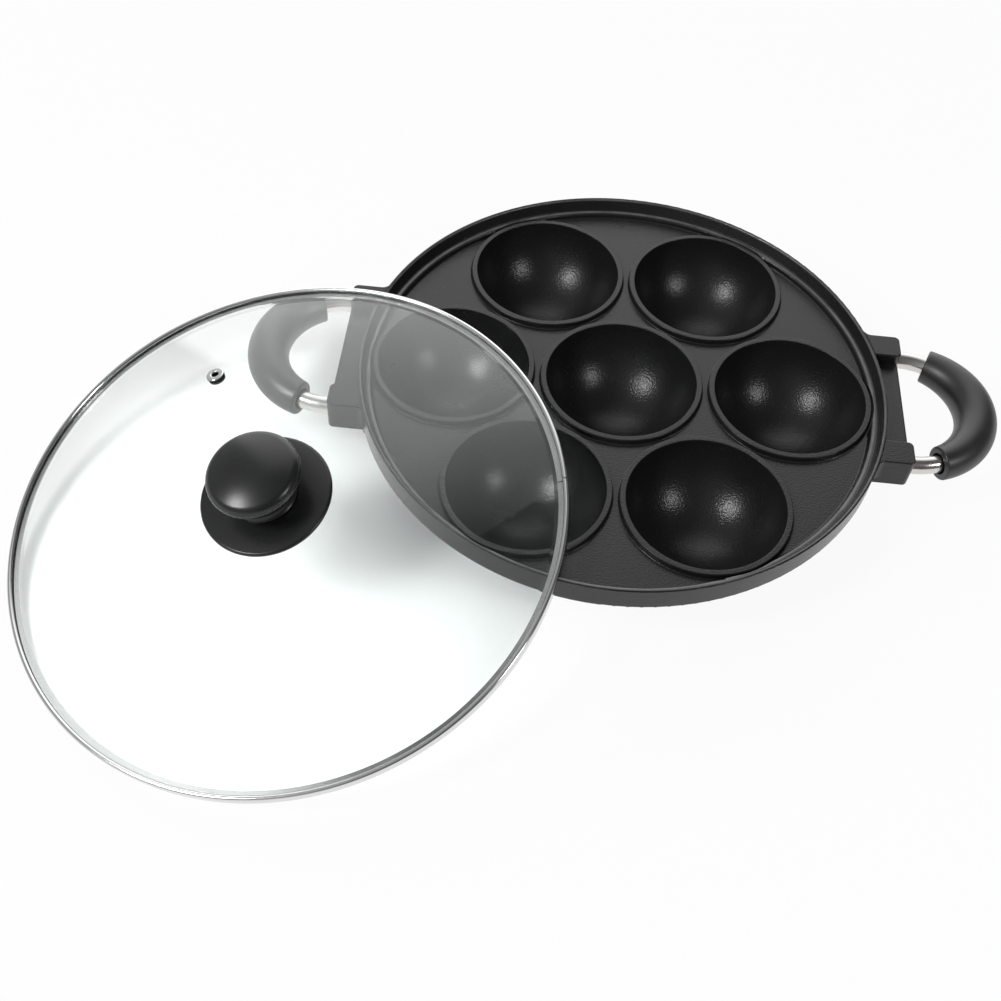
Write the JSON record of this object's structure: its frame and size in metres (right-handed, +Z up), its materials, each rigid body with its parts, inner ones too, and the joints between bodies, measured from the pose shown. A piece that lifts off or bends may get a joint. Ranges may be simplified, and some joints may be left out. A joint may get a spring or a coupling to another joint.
{
  "type": "takoyaki maker",
  "caption": "Round cast pan with hemispherical ringed cups for baking batter balls, two bow handles with grips, and a loose domed glass lid with a knob that leans on its rim",
  "frame": {"origin": "On the table top, in the middle of the pan: the centre of the middle cup's foot pad", "axes": "+Z up, X along the line through the two handles, Y across it; the lid leans at the -X -Y side"},
  "size_m": [0.4288, 0.3318, 0.0767],
  "materials": {
    "coated_aluminium": "dark grey non-stick coating with fine pale specks, over cast aluminium",
    "steel_rod": "bright drawn stainless steel",
    "grip_plastic": "smooth black phenolic moulding",
    "lid_glass": "clear tempered glass with a faint green tint",
    "band_steel": "polished stainless strip",
    "silicone": "translucent silicone",
    "knob_plastic": "satin black phenolic moulding"
  },
  "bodies": {
    "pan": {"pan_rim": "coated_aluminium", "pan_plate": "coated_aluminium", "cup_0": "coated_aluminium", "cup_1": "coated_aluminium", "cup_2": "coated_aluminium", "cup_3": "coated_aluminium", "cup_4": "coated_aluminium", "cup_5": "coated_aluminium", "cup_6": "coated_aluminium", "bracket_left": "coated_aluminium", "bracket_right": "coated_aluminium", "handle_rod_left": "steel_rod", "handle_rod_right": "steel_rod", "grip_left": "grip_plastic", "grip_right": "grip_plastic", "rod_pins_left": "steel_rod", "rod_pins_right": "steel_rod"},
    "lid": {"lid_glass": "lid_glass", "lid_band": "band_steel", "vent_grommet": "band_steel", "knob_cap": "knob_plastic", "knob_base": "knob_plastic", "knob_insert": "steel_rod", "knob_screw": "steel_rod", "knob_washer": "steel_rod", "knob_gasket_top": "silicone", "knob_gasket_bottom": "silicone"}
  },
  "joints": [
    {"name": "lid_lift", "type": "slide", "parent": "pan", "child": "lid", "axis": [0, 0, 1], "range_m": [0, 0.12]}
  ]
}
